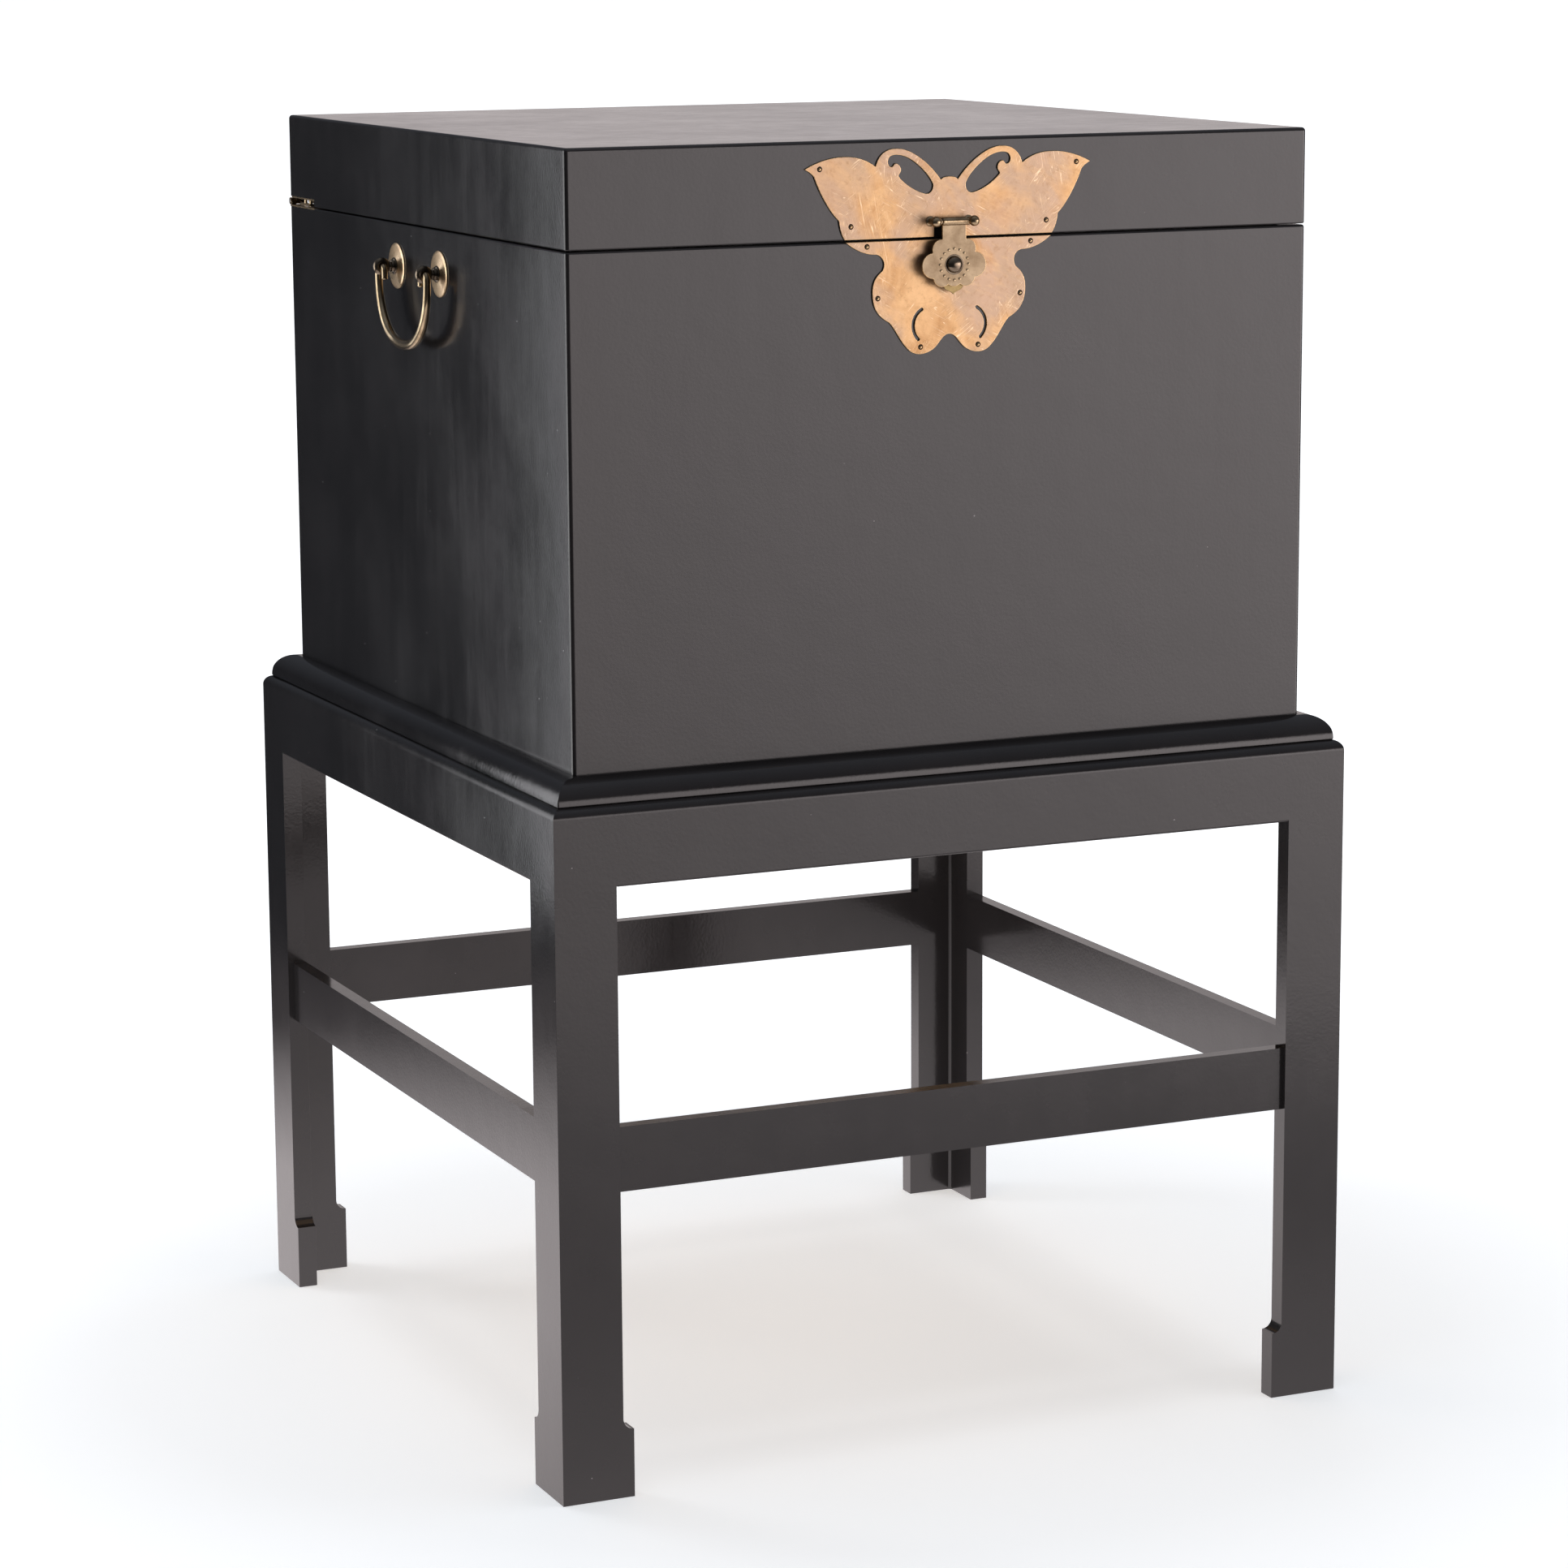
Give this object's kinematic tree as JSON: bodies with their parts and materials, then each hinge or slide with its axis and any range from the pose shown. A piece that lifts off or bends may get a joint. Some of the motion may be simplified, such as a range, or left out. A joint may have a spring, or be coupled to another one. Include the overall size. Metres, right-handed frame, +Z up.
{
  "type": "jewelry armoire",
  "caption": "Lift-top jewelry chest on an open four-legged stand, with a butterfly latch plate and hasp, stop hinges and a hanging bail pull on each side.",
  "frame": {"origin": "middle of the stand's footprint, on the floor", "axes": "+Z up, the front with the latch faces -Y, +X is to the right as seen from the front"},
  "size_m": [0.663, 0.678, 1.002],
  "materials": {
    "lacquer": "satin black lacquer",
    "raw_wood": "bare",
    "brass": "mottled, lightly aged",
    "aged_brass": "dark antique",
    "steel": "plated",
    "felt": "felt",
    "suede": "soft suede over foam",
    "mirror": "silvered"
  },
  "bodies": {
    "stand_and_chest": {"leg_front_left": "lacquer", "leg_front_right": "lacquer", "leg_back_left": "lacquer", "leg_back_right": "lacquer", "apron_front": "lacquer", "apron_back": "lacquer", "apron_left": "lacquer", "apron_right": "lacquer", "rail_front": "lacquer", "rail_back": "lacquer", "rail_left": "lacquer", "rail_right": "lacquer", "dowels": "raw_wood", "corner_blocks": "raw_wood", "deck_board": "raw_wood", "frame_screws": "steel", "moulding_front": "lacquer", "moulding_back": "lacquer", "moulding_left": "lacquer", "moulding_right": "lacquer", "chest_front": "lacquer", "chest_back": "lacquer", "chest_left": "lacquer", "chest_right": "lacquer", "chest_bottom": "lacquer", "chest_liners": "lacquer", "floor_felt": "felt", "tray_runners": "lacquer", "latch_plate_lower": "brass", "lower_plate_nails": "brass", "catch_stud": "aged_brass", "pull_rosettes": "aged_brass", "pull_posts": "aged_brass", "pull_nuts": "steel", "hinge_leaves_chest": "brass", "hinge_pins": "steel", "hinge_screws_chest": "brass"},
    "tray": {"tray_sides": "lacquer", "tray_floor": "lacquer", "tray_dividers": "lacquer", "tray_felt": "felt", "ring_rolls": "suede"},
    "lid": {"lid_top": "lacquer", "lid_front": "lacquer", "lid_back": "lacquer", "lid_left": "lacquer", "lid_right": "lacquer", "lid_mirror": "mirror", "mirror_bead": "lacquer", "latch_plate_upper": "brass", "upper_plate_nails": "brass", "hasp_posts": "brass", "hasp_pin": "aged_brass", "hinge_leaves_lid": "brass", "hinge_screws_lid": "brass"},
    "hasp": {"hasp_plate": "brass", "hasp_knob": "aged_brass", "hasp_leaf": "aged_brass"},
    "bail_left": {"bail_left": "aged_brass"},
    "bail_right": {"bail_right": "aged_brass"}
  },
  "joints": [
    {"name": "lid_hinge", "type": "hinge", "parent": "stand_and_chest", "child": "lid", "pos_m": [0, 0.3135, 0.9309], "axis": [-1, 0, 0], "range_deg": [0, 95]},
    {"name": "hasp_hinge", "type": "hinge", "parent": "lid", "child": "hasp", "pos_m": [0, -0.3215, 0.9409], "axis": [-1, 0, 0], "range_deg": [0, 150]},
    {"name": "bail_left_swing", "type": "hinge", "parent": "stand_and_chest", "child": "bail_left", "pos_m": [-0.318, 0, 0.8945], "axis": [0, 1, 0], "range_deg": [-8, 95]},
    {"name": "bail_right_swing", "type": "hinge", "parent": "stand_and_chest", "child": "bail_right", "pos_m": [0.318, 0, 0.8945], "axis": [0, -1, 0], "range_deg": [-8, 95]},
    {"name": "tray_lift", "type": "slide", "parent": "stand_and_chest", "child": "tray", "axis": [0, 0, 1], "range_m": [0, 0.045]}
  ]
}
